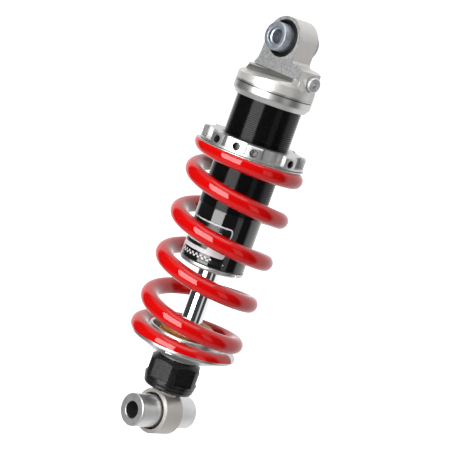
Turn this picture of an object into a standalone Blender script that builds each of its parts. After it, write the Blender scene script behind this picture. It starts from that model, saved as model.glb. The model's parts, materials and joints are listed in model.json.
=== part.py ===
"""Rear shock absorber for a motorcycle: a coil-over monotube damper with two bushed eyes.

The shock stands upright. +Z is up along the damper's axis, X is the axis of both eyes,
and the origin is the centre of the upper eye. The damper is fully extended.
"""

import math

import bmesh
import bpy
from mathutils import Matrix, Vector

MM = 0.001
GAP = 0.3  # clearance left between neighbouring pieces

# Overall
EYE_TO_EYE = 295.0

# Upper mount head
HEAD_RADIUS = 29.5
HEAD_BOTTOM = -47.7
HEAD_TOP = -25.0
HEAD_ROOF = -34.0
GROOVE_Z = -38.6
PLATE_HALF_WIDTH = 10.0
UPPER_EYE_RADIUS = 16.4
UPPER_BORE_RADIUS = 13.9
UPPER_SLEEVE_RADIUS = 10.5
UPPER_SLEEVE_HALF = 19.0
UPPER_BOLT_RADIUS = 5.3
PLATE_FOOT = -24.2
UNDERCUT = 7.4
LEDGE_TILT = -4.0
LUG_END = -28.0
LUG_SIDE = 11.6
VALVE_X = 4.9
VALVE_Z = -24.1
VALVE_TURN = -8.0

# Damper body
THREAD_RADIUS = 25.0
SMOOTH_RADIUS = 24.5
BODY_BORE_RADIUS = 20.0
THREAD_END = -132.7
BODY_BOTTOM = -173.5
CAP_BOTTOM = -177.2
CAP_NOTCH_ANGLES = (-86.0, 4.0, 94.0, 184.0)

# Preload collar
COLLAR_TOP = -77.8
COLLAR_BOTTOM = -87.3
COLLAR_RADIUS = 39.7
COLLAR_LOBES = 8
COLLAR_LOBE_ANGLE = 17.0
COLLAR_SLOT_RADIUS = 34.5
COLLAR_FLANGE = 1.8
COLLAR_HOLE_Z = -82.6
LOCK_SCREW_ANGLE = -135.0
SLOT_HOLE_ANGLE = -157.5

# Coil spring
SPRING_TOP = -88.4
SPRING_BOTTOM = -237.2
WIRE_RADIUS = 6.4
COIL_RADIUS = 36.5
SPRING_TURNS = 5.73
CLOSED_PITCH = 10.0
CLOSED_TURNS = 0.66
RAMP_TURNS = 0.4
SPRING_START_ANGLE = -74.0
END_GRIND = 1.4  # how far the ground face passes the wire's centre line at each tip

# Rod, piston and valving
ROD_RADIUS = 8.0
ROD_BORE_RADIUS = 2.6
SPIGOT_RADIUS = 5.0
ROD_SHOULDER = -146.7
PISTON_TOP = -131.7
PISTON_BOTTOM = -143.7
SEAL_HEAD_TOP = -153.0

# Lower mount, knob and seat
SEAT_TOP = -237.5
SEAT_FLOOR = -240.2
LIP_TOP = -230.0
SEAT_RADIUS = 40.5
HUB_RADIUS = 15.3
HUB_BOTTOM = -250.9
KNOB_TOP = -251.3
KNOB_BOTTOM = -275.2
KNOB_RADIUS = 19.7
KNOB_LOBES = 6
STEM_RADIUS = 10.5
STEM_TOP = -246.3
PIN_Z = -262.0
LOWER_EYE_RADIUS = 17.2
LOWER_EYE_HALF = 8.9
LOWER_BORE_RADIUS = 14.1
LOWER_SLEEVE_RADIUS = 12.5
LOWER_SLEEVE_HALF = 28.5
LOWER_BOLT_RADIUS = 6.1

SIDES = 20
FINE_SIDES = 36
ALONG_X = Matrix.Rotation(math.radians(90.0), 4, "Y")


def clear_scene():
    for obj in list(bpy.data.objects):
        bpy.data.objects.remove(obj, do_unlink=True)


def make_material(name, colour, metallic, roughness):
    material = bpy.data.materials.new(name)
    material.use_nodes = True
    shader = material.node_tree.nodes["Principled BSDF"]
    shader.inputs["Base Color"].default_value = (*colour, 1.0)
    shader.inputs["Metallic"].default_value = metallic
    shader.inputs["Roughness"].default_value = roughness
    material.diffuse_color = (*colour, 1.0)
    return material


LOOKS = {
    "cast_alloy": ((0.62, 0.61, 0.59), 1.0, 0.42),
    "satin_alloy": ((0.74, 0.74, 0.74), 1.0, 0.28),
    "zinc_steel": ((0.50, 0.54, 0.58), 1.0, 0.35),
    "turned_steel": ((0.45, 0.45, 0.46), 1.0, 0.30),
    "black_anodised": ((0.015, 0.015, 0.017), 0.4, 0.25),
    "red_paint": ((0.70, 0.01, 0.01), 0.0, 0.15),
    "chrome": ((0.85, 0.86, 0.88), 1.0, 0.05),
    "rubber": ((0.02, 0.02, 0.02), 0.0, 0.60),
    "amber_foam": ((0.60, 0.33, 0.08), 0.0, 0.55),
    "black_plastic": ((0.03, 0.03, 0.03), 0.0, 0.40),
    "bronze": ((0.60, 0.42, 0.20), 1.0, 0.35),
    "ptfe": ((0.75, 0.72, 0.62), 0.0, 0.50),
}


def finish(name, mesh, look, centre, sharp=32.0):
    """Put a mesh in the scene as a named node, or as a hidden cutter when it has no look."""
    obj = bpy.data.objects.new(name, mesh)
    obj.location = Vector(centre) * MM
    bpy.context.scene.collection.objects.link(obj)
    if look is None:
        obj.hide_render = True
        obj.display_type = "WIRE"
        return obj
    mesh.materials.append(make_material(name + "_finish", *LOOKS[look]))
    for face in mesh.polygons:
        face.use_smooth = True
    mesh.set_sharp_from_angle(angle=math.radians(sharp))
    return obj


def mesh_from(name, verts, faces, turn):
    """A closed mesh in metres from points in millimetres, with its faces turned outwards."""
    mesh = bpy.data.meshes.new(name)
    mesh.from_pydata([turn @ Vector(v) * MM for v in verts], [], faces)
    work = bmesh.new()
    work.from_mesh(mesh)
    bmesh.ops.recalc_face_normals(work, faces=work.faces)
    work.to_mesh(mesh)
    work.free()
    mesh.validate()
    return mesh


def lathe(name, profile, look=None, centre=(0, 0, 0), turn=None, sides=SIDES):
    """Revolve a closed profile of (radius, height) points about the local Z axis."""
    turn = turn or Matrix.Identity(4)
    verts = []
    rings = []
    for radius, height in profile:
        if radius < 1e-6:
            rings.append([len(verts)] * sides)
            verts.append((0.0, 0.0, height))
            continue
        rings.append(list(range(len(verts), len(verts) + sides)))
        for k in range(sides):
            angle = 2.0 * math.pi * k / sides
            verts.append((radius * math.cos(angle), radius * math.sin(angle), height))
    faces = []
    for i, ring in enumerate(rings):
        after = rings[(i + 1) % len(rings)]
        for k in range(sides):
            n = (k + 1) % sides
            corners = [ring[k], ring[n], after[n], after[k]]
            face = [v for j, v in enumerate(corners) if v not in corners[:j]]
            if len(face) > 2:
                faces.append(face)
    return finish(name, mesh_from(name, verts, faces, turn), look, centre)


def tube(name, inner, outer, low, high, look=None, chamfer=0.0, **more):
    """A plain ring or, when the inner radius is zero, a plain cylinder."""
    profile = [(outer, low + chamfer), (outer, high - chamfer)]
    if chamfer:
        profile = [(outer - chamfer, low)] + profile + [(outer - chamfer, high)]
    profile = profile + [(inner, high), (inner, low)]
    return lathe(name, profile, look, **more)


def prism(name, outline, low, high, look=None, centre=(0, 0, 0), turn=None):
    """Extrude a closed outline of local (x, y) points between two local heights."""
    turn = turn or Matrix.Identity(4)
    count = len(outline)
    verts = [(x, y, low) for x, y in outline] + [(x, y, high) for x, y in outline]
    faces = [list(range(count)), list(range(count, 2 * count))]
    for k in range(count):
        n = (k + 1) % count
        faces.append([k, n, count + n, count + k])
    return finish(name, mesh_from(name, verts, faces, turn), look, centre)


def box(name, x, y, z, look=None, centre=(0, 0, 0), turn=None):
    """A box between the low and high values of each axis."""
    outline = [(x[0], y[0]), (x[1], y[0]), (x[1], y[1]), (x[0], y[1])]
    return prism(name, outline, z[0], z[1], look, centre=centre, turn=turn)


def polygon(sides, radius, start=0.0):
    return [
        (radius * math.cos(start + 2.0 * math.pi * k / sides),
         radius * math.sin(start + 2.0 * math.pi * k / sides))
        for k in range(sides)
    ]


def combine(target, tool, operation):
    modifier = target.modifiers.new(tool.name, "BOOLEAN")
    modifier.operation = operation
    modifier.solver = "EXACT"
    modifier.object = tool
    tool.hide_render = True
    tool.display_type = "WIRE"


def cut(target, *tools):
    for tool in tools:
        combine(target, tool, "DIFFERENCE")


def join(target, *tools):
    for tool in tools:
        combine(target, tool, "UNION")


def about_z(degrees):
    return Matrix.Rotation(math.radians(degrees), 4, "Z")


# ---------------------------------------------------------------- upper mount head
def build_head():
    """Cast head: a round base that caps the damper body, an eye plate and a valve lug."""
    head = lathe("upper_mount_head", [
        (THREAD_RADIUS + GAP, HEAD_BOTTOM),
        (26.6, HEAD_BOTTOM),
        (29.1, HEAD_BOTTOM + 3.4),
        (HEAD_RADIUS, HEAD_BOTTOM + 4.4),
        (HEAD_RADIUS, GROOVE_Z - 0.5),
        (HEAD_RADIUS - 0.7, GROOVE_Z - 0.3),
        (HEAD_RADIUS - 0.7, GROOVE_Z + 0.3),
        (HEAD_RADIUS, GROOVE_Z + 0.5),
        (HEAD_RADIUS, -32.0),
        (29.1, -30.2),
        (27.6, -27.6),
        (25.6, HEAD_TOP),
        (0.0, HEAD_TOP),
        (0.0, HEAD_ROOF),
        (THREAD_RADIUS + GAP, HEAD_ROOF),
    ], "cast_alloy", sides=FINE_SIDES)
    for side in (-1, 1):
        ledge = [(side * x, z) for x, z in
                 ((UNDERCUT, PLATE_FOOT), (UNDERCUT, -27.3), (UNDERCUT + 1.0, -27.7),
                  (40.0, -33.0), (40.0, -10.0), (PLATE_HALF_WIDTH, -10.0),
                  (PLATE_HALF_WIDTH, PLATE_FOOT))]
        cut(head, prism(f"ledge_cut_{side}", ledge, -40, 40,
                        turn=ledge_frame()))
    plate = prism("plate_join", eye_plate_outline(), -PLATE_HALF_WIDTH, PLATE_HALF_WIDTH,
                  turn=ALONG_X)
    for side in (-1, 1):
        cut(plate, box(f"undercut_{side}", sorted((side * UNDERCUT, side * 14.0)), (-40, 40),
                       (-31.0, PLATE_FOOT)))
    shoulder = prism("lug_top_join", [(-14.0, -34.0), (LUG_END, -34.0), (LUG_END, -16.6),
                                      (-23.7, -15.2), (-14.0, -14.6)],
                     2.0, LUG_SIDE, turn=Matrix(((0, 0, 1, 0), (1, 0, 0, 0),
                                                 (0, 1, 0, 0), (0, 0, 0, 1))))
    lug = prism("lug_join", [(-7.0, -8.0), (-7.0, -19.0), (-11.4, -25.0), (-4.4, -29.0),
                             (LUG_SIDE, LUG_END), (LUG_SIDE, -8.0)], -37.0, PLATE_FOOT + 0.2)
    join(head, plate, shoulder, lug)
    valve = valve_frame()
    cut(head,
        tube("socket_cut", 0.0, THREAD_RADIUS + GAP, HEAD_BOTTOM - 5.0, HEAD_ROOF,
             sides=FINE_SIDES),
        tube("upper_eye_cut", 0.0, UPPER_BORE_RADIUS, -30, 30, turn=ALONG_X),
        tube("valve_hole_cut", 0.0, 3.3, -2.0, 14.0, turn=valve, sides=20),
        tube("valve_spot_cut", 0.0, 6.0, -14.0, 0.0, turn=valve, sides=20),
        tube("gas_way_cut", 0.0, 1.3, HEAD_ROOF - 4.0, VALVE_Z, turn=gas_way(), sides=16))


def ledge_frame():
    """Local Y points up and local Z runs towards the lug, rising a little on the way."""
    pivot = Matrix.Translation((0, -8.0, -27.3))
    tilt = Matrix.Rotation(math.radians(LEDGE_TILT), 4, "X")
    return pivot @ tilt @ pivot.inverted() @ Matrix.Rotation(math.radians(90.0), 4, "X")


def eye_plate_outline():
    """Eye plate seen along X, as (-z, y): round eye, flared foot and the lug's front wall."""
    arc = []
    for k in range(25):
        angle = math.radians(82.0) * (k / 12.0 - 1.0)
        arc.append((-UPPER_EYE_RADIUS * math.cos(angle), UPPER_EYE_RADIUS * math.sin(angle)))
    far = [(8.0, 16.2), (14.0, 16.4), (20.0, 17.4), (23.2, 19.4), (28.0, 19.4)]
    near = [(28.0, LUG_END), (16.6, LUG_END), (15.2, -23.7), (14.2, -17.2), (12.5, -15.6),
            (8.0, -15.6)]
    return arc + far + near


def valve_frame():
    """Local Z runs into the lug from its end face, along the charging screw's axis."""
    into = Matrix.Rotation(math.radians(-90.0), 4, "X")
    return Matrix.Translation((VALVE_X, LUG_END + 1.1, VALVE_Z)) @ about_z(VALVE_TURN) @ into


def gas_way():
    """Upright passage from the bottom of the screw's hole into the gas chamber."""
    return Matrix.Translation((VALVE_X, LUG_END + 12.5, 0.0))


def build_valve():
    """Socket screw that closes the gas filling hole, on its sealing washer."""
    valve = valve_frame()
    screw = lathe("valve_screw", [
        (3.0, 11.0), (3.0, -1.4), (5.5, -1.4), (5.5, -4.7), (4.9, -5.3), (0.0, -5.3),
        (0.0, 11.0),
    ], "zinc_steel", turn=valve, sides=SIDES)
    cut(screw, prism("valve_hex_cut", polygon(6, 2.7), -7.0, -2.4, turn=valve))
    tube("valve_washer", 3.3, 5.2, -1.1, -GAP, "zinc_steel", turn=valve, sides=SIDES)


def build_eye(prefix, centre, bore, sleeve, half, bolt, seal_in, seal_out):
    """The bushing set of one eye: liner, inner sleeve and a dust seal at each side."""
    tube(prefix + "_bush", sleeve + GAP, bore - GAP, GAP - seal_in, seal_in - GAP, "bronze",
         centre=centre, turn=ALONG_X)
    lathe(prefix + "_sleeve", [
        (sleeve - 0.8, -half), (sleeve, -half + 0.8), (sleeve, half - 0.8), (sleeve - 0.8, half),
        (bolt + 1.0, half), (bolt, half - 1.0), (bolt, -half + 1.0), (bolt + 1.0, -half),
    ], "zinc_steel" if prefix == "upper" else "turned_steel", centre=centre, turn=ALONG_X)
    for side, word in ((-1, "left"), (1, "right")):
        lip = [(bore - GAP, seal_in), (bore - GAP, seal_out - 0.5), (bore - GAP - 0.5, seal_out),
               (sleeve + GAP + 0.6, seal_out), (sleeve + GAP, seal_out - 0.9),
               (sleeve + GAP, seal_in)]
        lathe(f"{prefix}_seal_{word}", [(r, side * x) for r, x in lip], "rubber",
              centre=centre, turn=ALONG_X)


# ---------------------------------------------------------------- damper body
def build_body():
    """Pressure tube with the preload thread's crest envelope on its upper two thirds."""
    lathe("damper_cylinder", [
        (BODY_BORE_RADIUS, HEAD_ROOF - GAP),
        (BODY_BORE_RADIUS, BODY_BOTTOM),
        (SMOOTH_RADIUS - 0.4, BODY_BOTTOM),
        (SMOOTH_RADIUS, BODY_BOTTOM + 0.4),
        (SMOOTH_RADIUS, THREAD_END - 0.5),
        (THREAD_RADIUS, THREAD_END),
        (THREAD_RADIUS, HEAD_ROOF - GAP),
    ], "black_anodised", sides=FINE_SIDES)
    cap = lathe("end_cap", [
        (10.0, CAP_BOTTOM),
        (SMOOTH_RADIUS - 0.9, CAP_BOTTOM),
        (SMOOTH_RADIUS + 0.3, CAP_BOTTOM + 1.2),
        (SMOOTH_RADIUS + 0.3, BODY_BOTTOM - GAP),
        (BODY_BORE_RADIUS - GAP, BODY_BOTTOM - GAP),
        (BODY_BORE_RADIUS - GAP, -168.0),
        (10.0, -168.0),
    ], "satin_alloy", sides=FINE_SIDES)
    for number, angle in enumerate(CAP_NOTCH_ANGLES):
        notch = [(SMOOTH_RADIUS - 2.2, 0.0), (SMOOTH_RADIUS + 3.0, -2.6),
                 (SMOOTH_RADIUS + 3.0, 2.6)]
        cut(cap, prism(f"cap_notch_{number}", notch, CAP_BOTTOM - 2.0, BODY_BOTTOM - 1.4,
                       turn=about_z(angle)))
    lathe("seal_head", [
        (10.1, SEAL_HEAD_TOP - 1.0), (11.3, SEAL_HEAD_TOP), (17.5, SEAL_HEAD_TOP),
        (BODY_BORE_RADIUS - GAP, SEAL_HEAD_TOP - 1.5),
        (BODY_BORE_RADIUS - GAP, -158.0), (17.7, -158.0), (17.7, -161.2),
        (BODY_BORE_RADIUS - GAP, -161.2), (BODY_BORE_RADIUS - GAP, -167.7),
        (12.8, -167.7), (12.8, -163.2), (10.1, -163.2),
    ], "satin_alloy")
    tube("seal_head_o_ring", 18.0, BODY_BORE_RADIUS - 0.25, -160.9, -158.3, "rubber", chamfer=0.5)
    tube("rod_bush", ROD_RADIUS + 0.25, 9.8, -162.9, SEAL_HEAD_TOP - 1.2, "ptfe")
    tube("rod_seal", ROD_RADIUS + 0.25, 12.5, -167.3, -163.5, "rubber", chamfer=0.4)
    lathe("rod_wiper", [
        (ROD_RADIUS + 0.25, CAP_BOTTOM - 1.3), (9.0, CAP_BOTTOM - 1.3), (9.7, CAP_BOTTOM - 0.4),
        (9.7, -169.0), (ROD_RADIUS + 0.9, -169.0), (ROD_RADIUS + 0.9, CAP_BOTTOM + 1.5),
        (ROD_RADIUS + 0.25, CAP_BOTTOM + 0.4),
    ], "rubber")
    tube("top_out_bumper", ROD_RADIUS + 0.4, 13.0, SEAL_HEAD_TOP + GAP, -147.0, "rubber",
         chamfer=0.8)


def build_gas_piston():
    """Floating piston that keeps the gas above the oil."""
    lathe("floating_piston", [
        (0.0, -64.0), (0.0, -70.0), (15.0, -70.0), (15.0, -76.0),
        (19.4, -76.0), (19.4, -71.6), (17.4, -71.6), (17.4, -68.4), (19.4, -68.4),
        (19.4, -65.0), (18.4, -64.0),
    ], "satin_alloy")
    tube("floating_piston_o_ring", 17.7, BODY_BORE_RADIUS - 0.25, -71.3, -68.7, "rubber",
         chamfer=0.5)


# ---------------------------------------------------------------- preload adjustment
def build_preload():
    """Castellated collar on the body thread, its lock screw and the spring's washer."""
    collar = lathe("preload_collar", [
        (THREAD_RADIUS + GAP, COLLAR_BOTTOM),
        (COLLAR_RADIUS - 0.5, COLLAR_BOTTOM),
        (COLLAR_RADIUS, COLLAR_BOTTOM + 0.5),
        (COLLAR_RADIUS, COLLAR_TOP - 1.0),
        (COLLAR_RADIUS - 1.0, COLLAR_TOP),
        (THREAD_RADIUS + 1.3, COLLAR_TOP),
        (THREAD_RADIUS + GAP, COLLAR_TOP - 1.0),
    ], "satin_alloy", sides=FINE_SIDES)
    step = 360.0 / COLLAR_LOBES
    half = math.radians((step - COLLAR_LOBE_ANGLE) / 2.0)
    for k in range(COLLAR_LOBES):
        arc = []
        for j in range(7):
            angle = -half + 2.0 * half * j / 6.0
            inset = 0.7 if j in (0, 6) else 0.0
            radius = COLLAR_SLOT_RADIUS + inset
            arc.append((radius * math.cos(angle), radius * math.sin(angle)))
        outer = [(48.0 * math.cos(half), 48.0 * math.sin(half)),
                 (48.0 * math.cos(half), -48.0 * math.sin(half))]
        slot = prism(f"collar_slot_{k}", arc + outer, COLLAR_BOTTOM + COLLAR_FLANGE,
                     COLLAR_TOP + 3.0, turn=about_z(step * (k + 0.5)))
        cut(collar, slot)
    angles = [step * k for k in range(COLLAR_LOBES)] + [SLOT_HOLE_ANGLE]
    for number, angle in enumerate(angles):
        # The hole that takes the lock screw goes right through to the thread.
        inner = 22.0 if abs((angle - LOCK_SCREW_ANGLE) % 360.0) < 1.0 else 30.5
        hole = tube(f"collar_hole_{number}", 0.0, 2.9, inner, 44.0, sides=20,
                    turn=about_z(angle) @ Matrix.Translation((0, 0, COLLAR_HOLE_Z)) @ ALONG_X)
        cut(collar, hole)
    place = about_z(LOCK_SCREW_ANGLE) @ Matrix.Translation((0, 0, COLLAR_HOLE_Z)) @ ALONG_X
    screw = tube("collar_lock_screw", 0.0, 2.6, THREAD_RADIUS + GAP, 37.2, "turned_steel",
                 chamfer=0.3, turn=place, sides=20)
    cut(screw, prism("lock_hex_cut", polygon(6, 1.5), 34.2, 42.0, turn=place))
    tube("spring_washer", THREAD_RADIUS + 1.5, 41.0, SPRING_TOP + 0.2, COLLAR_BOTTOM - GAP,
         "satin_alloy")


def spring_height(turn, pitch):
    """Height of the wire's centre line above its lower end after so many turns."""
    def one_end(t):
        ramp = min(max(t - CLOSED_TURNS, 0.0), RAMP_TURNS)
        full = max(t - CLOSED_TURNS - RAMP_TURNS, 0.0)
        return ramp * ramp / (2.0 * RAMP_TURNS) + full
    middle = SPRING_TURNS / 2.0
    if turn <= middle:
        return CLOSED_PITCH * turn + (pitch - CLOSED_PITCH) * one_end(turn)
    whole = 2.0 * spring_height(middle, pitch)
    return whole - spring_height(SPRING_TURNS - turn, pitch)


def build_spring():
    """Left-handed spring with closed ends ground flat."""
    low = SPRING_BOTTOM - END_GRIND
    high = SPRING_TOP + END_GRIND
    active = SPRING_TURNS - 2.0 * CLOSED_TURNS - RAMP_TURNS
    pitch = CLOSED_PITCH + (high - low - CLOSED_PITCH * SPRING_TURNS) / active
    per_turn = 18
    around = 10
    count = round(SPRING_TURNS * per_turn)
    verts = []
    faces = []
    for i in range(count + 1):
        turn = SPRING_TURNS * i / count
        angle = math.radians(SPRING_START_ANGLE) - 2.0 * math.pi * turn
        centre = low + spring_height(turn, pitch)
        for j in range(around):
            section = 2.0 * math.pi * (j + 0.5) / around
            radius = COIL_RADIUS + WIRE_RADIUS * math.cos(section)
            height = centre + WIRE_RADIUS * math.sin(section)
            height = min(max(height, SPRING_BOTTOM), SPRING_TOP)
            verts.append((radius * math.cos(angle), radius * math.sin(angle), height))
    for i in range(count):
        for j in range(around):
            n = (j + 1) % around
            faces.append([i * around + j, i * around + n, (i + 1) * around + n,
                          (i + 1) * around + j])
    faces.append(list(range(around)))
    faces.append(list(range(count * around, (count + 1) * around)))
    mesh = mesh_from("coil_spring", verts, faces, Matrix.Identity(4))
    finish("coil_spring", mesh, "red_paint", (0, 0, 0), sharp=50.0)


# ---------------------------------------------------------------- rod, piston and valving
def build_rod():
    """Hollow rod with the piston, its shim stacks and nut at the top."""
    rod = lathe("piston_rod", [
        (1.6, -121.0), (SPIGOT_RADIUS - 0.6, -121.0), (SPIGOT_RADIUS, -121.6),
        (SPIGOT_RADIUS, ROD_SHOULDER), (ROD_RADIUS - 0.5, ROD_SHOULDER),
        (ROD_RADIUS, ROD_SHOULDER - 0.5), (ROD_RADIUS, -268.0), (ROD_BORE_RADIUS, -268.0),
        (ROD_BORE_RADIUS, -134.0), (1.6, -132.0),
    ], "chrome")
    cut(rod,
        box("rod_pin_slot", (-1.6, 1.6), (-20, 20), (PIN_Z - 1.6, PIN_Z + 3.2)),
        tube("rod_bleed_hole", 0.0, 1.2, -20, 20, sides=16,
             turn=Matrix.Translation((0, 0, -150.0)) @ ALONG_X))
    piston = lathe("main_piston", [
        (SPIGOT_RADIUS + GAP, PISTON_TOP), (17.6, PISTON_TOP), (19.3, PISTON_TOP - 1.2),
        (19.3, -134.6), (18.2, -134.6), (18.2, -140.8), (19.3, -140.8),
        (19.3, PISTON_BOTTOM + 1.2), (17.6, PISTON_BOTTOM), (SPIGOT_RADIUS + GAP, PISTON_BOTTOM),
    ], "satin_alloy")
    for k in range(6):
        cut(piston, tube(f"piston_port_{k}", 0.0, 1.9, -150, -125, sides=14,
                         turn=about_z(60.0 * k) @ Matrix.Translation((11.5, 0, 0))))
    tube("piston_band", 18.5, BODY_BORE_RADIUS - 0.25, -140.5, -134.9, "ptfe")
    for name, base, way in (("compression_shims", PISTON_TOP + GAP, 1),
                            ("rebound_shims", PISTON_BOTTOM - GAP, -1)):
        lathe(name, [
            (SPIGOT_RADIUS + GAP, base), (15.5, base), (15.5, base + way * 0.8),
            (13.5, base + way * 0.8), (13.5, base + way * 1.5), (11.0, base + way * 1.5),
            (11.0, base + way * 2.2), (SPIGOT_RADIUS + GAP, base + way * 2.2),
        ], "turned_steel")
    nut = prism("piston_nut", polygon(6, 9.2), PISTON_TOP + 2.8, PISTON_TOP + 9.0, "zinc_steel")
    cut(nut, tube("nut_bore_cut", 0.0, SPIGOT_RADIUS + GAP, -140, -110, sides=SIDES))


def build_adjuster():
    """Metering needle inside the rod, the cross pin that lifts it, and the click knob."""
    needle = lathe("metering_needle", [
        (0.0, -264.5), (2.2, -264.5), (2.2, -152.0), (1.9, -150.5), (0.9, -140.0),
        (0.9, -136.0), (0.0, -135.0),
    ], "turned_steel", sides=20)
    cut(needle, tube("needle_pin_cut", 0.0, 1.4, -20, 20, sides=16, turn=pin_frame()))
    tube("adjuster_pin", 0.0, 1.1, -11.6, 11.6, "turned_steel", turn=pin_frame(), sides=16)
    knob = lathe("rebound_knob", [
        (STEM_RADIUS + 0.4, KNOB_TOP), (16.0, KNOB_TOP), (KNOB_RADIUS + 0.6, KNOB_TOP - 3.6),
        (KNOB_RADIUS + 0.6, -268.4), (KNOB_RADIUS - 0.4, -268.8), (KNOB_RADIUS - 0.4, -269.8),
        (KNOB_RADIUS + 0.1, -270.2), (KNOB_RADIUS - 0.1, -271.8), (KNOB_RADIUS - 0.9, -272.1),
        (KNOB_RADIUS - 0.9, -273.0), (KNOB_RADIUS - 0.5, -273.4), (KNOB_RADIUS - 1.3, KNOB_BOTTOM),
        (STEM_RADIUS + 0.4, KNOB_BOTTOM),
        (STEM_RADIUS + 0.4, PIN_Z - 3.0), (12.4, PIN_Z - 3.0), (12.4, PIN_Z + 4.6),
        (STEM_RADIUS + 0.4, PIN_Z + 4.6),
    ], "black_plastic", sides=FINE_SIDES)
    for k in range(KNOB_LOBES):
        turn = about_z(60.0 * k + 15.0)
        flat = box(f"knob_flat_{k}", (KNOB_RADIUS - 1.5, 30.0), (-7.6, 7.6), (-267.6, -240.0),
                   turn=turn)
        rib = box(f"knob_rib_{k}", (KNOB_RADIUS - 0.9, 30.0), (8.6, 12.0), (-267.6, -240.0),
                  turn=turn)
        cut(knob, flat, rib)


def pin_frame():
    return Matrix.Translation((0, 0, PIN_Z)) @ Matrix.Rotation(math.radians(90.0), 4, "X")


# ---------------------------------------------------------------- lower mount
def build_lower_mount():
    """Clevis with the lower eye, screwed onto the rod, and its set screw."""
    eye = -EYE_TO_EYE
    clevis = lathe("lower_clevis", [
        (ROD_RADIUS + GAP, STEM_TOP), (STEM_RADIUS - 0.6, STEM_TOP), (STEM_RADIUS, STEM_TOP - 0.6),
        (STEM_RADIUS, -271.5), (8.8, -274.5), (8.6, -280.0), (8.6, eye + 5.0), (0.0, eye + 5.0),
        (0.0, -269.5), (ROD_RADIUS + GAP, -269.5),
    ], "cast_alloy")
    barrel = lathe("lower_eye_join", [
        (LOWER_EYE_RADIUS - 0.8, -LOWER_EYE_HALF), (LOWER_EYE_RADIUS, -LOWER_EYE_HALF + 0.8),
        (LOWER_EYE_RADIUS, LOWER_EYE_HALF - 0.8), (LOWER_EYE_RADIUS - 0.8, LOWER_EYE_HALF),
        (0.0, LOWER_EYE_HALF), (0.0, -LOWER_EYE_HALF),
    ], turn=Matrix.Translation((0, 0, eye)) @ ALONG_X, sides=FINE_SIDES)
    join(clevis, barrel)
    place = about_z(-80.0) @ Matrix.Translation((0, 0, -276.6)) @ ALONG_X
    cut(clevis,
        tube("lower_eye_cut", 0.0, LOWER_BORE_RADIUS, -30, 30,
             turn=Matrix.Translation((0, 0, eye)) @ ALONG_X),
        box("clevis_pin_slot", (-1.6, 1.6), (-20, 20), (PIN_Z - 1.6, PIN_Z + 3.2)),
        tube("set_screw_cut", 0.0, 1.8, 3.0, 20.0, turn=place, sides=16))
    tube("clevis_set_screw", 0.0, 1.5, 3.3, 8.0, "turned_steel", turn=place, sides=16)


def build_seat():
    """Dished seat under the spring and the bump stop that stands in it."""
    seat = lathe("lower_spring_seat", [
        (ROD_RADIUS + GAP, SEAT_FLOOR), (26.2, SEAT_FLOOR), (26.9, LIP_TOP - 0.6),
        (27.5, LIP_TOP), (28.5, LIP_TOP), (29.0, LIP_TOP - 0.6), (29.4, SEAT_TOP),
        (SEAT_RADIUS - 0.4, SEAT_TOP), (SEAT_RADIUS, SEAT_TOP - 0.4),
        (SEAT_RADIUS, SEAT_TOP - 2.3), (SEAT_RADIUS - 1.0, SEAT_TOP - 3.1), (34.0, -242.4),
        (26.0, -246.8),
        (HUB_RADIUS + 1.0, -248.2), (HUB_RADIUS, -249.2), (HUB_RADIUS - 0.4, HUB_BOTTOM),
        (STEM_RADIUS + GAP, HUB_BOTTOM), (STEM_RADIUS + GAP, STEM_TOP + GAP),
        (ROD_RADIUS + GAP, STEM_TOP + GAP),
    ], "satin_alloy", sides=FINE_SIDES)
    for k in range(3):
        cut(seat, box(f"seat_notch_{k}", (SEAT_RADIUS - 7.0, SEAT_RADIUS + 5.0), (-3.0, 3.0),
                      (-252.0, SEAT_FLOOR), turn=about_z(-150.0 + 120.0 * k)))
    lathe("bump_stop", [
        (ROD_RADIUS + 0.6, SEAT_FLOOR + GAP), (20.4, SEAT_FLOOR + GAP), (21.0, -239.3),
        (21.0, -233.0), (19.8, -231.8), (21.0, -230.6), (21.0, -226.4), (19.8, -224.6),
        (17.0, -222.3), (ROD_RADIUS + 1.6, -222.3), (ROD_RADIUS + 0.6, -223.3),
    ], "amber_foam")


def build():
    clear_scene()
    build_head()
    build_valve()
    build_eye("upper", (0, 0, 0), UPPER_BORE_RADIUS, UPPER_SLEEVE_RADIUS, UPPER_SLEEVE_HALF,
              UPPER_BOLT_RADIUS, 8.0, 10.6)
    build_body()
    build_gas_piston()
    build_preload()
    build_spring()
    build_rod()
    build_adjuster()
    build_seat()
    build_lower_mount()
    build_eye("lower", (0, 0, -EYE_TO_EYE), LOWER_BORE_RADIUS, LOWER_SLEEVE_RADIUS,
              LOWER_SLEEVE_HALF, LOWER_BOLT_RADIUS, 6.0, 8.4)


build()
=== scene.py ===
"""Rear shock absorber: the looks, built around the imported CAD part.

Lengths are in millimetres until a mesh is made. +Z runs up the damper's axis, X is the
axis of both eyes, and the origin is the centre of the upper eye, as in the CAD part.
"""

import json
import math

import bmesh
import bpy
from mathutils import Matrix, Vector


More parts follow.
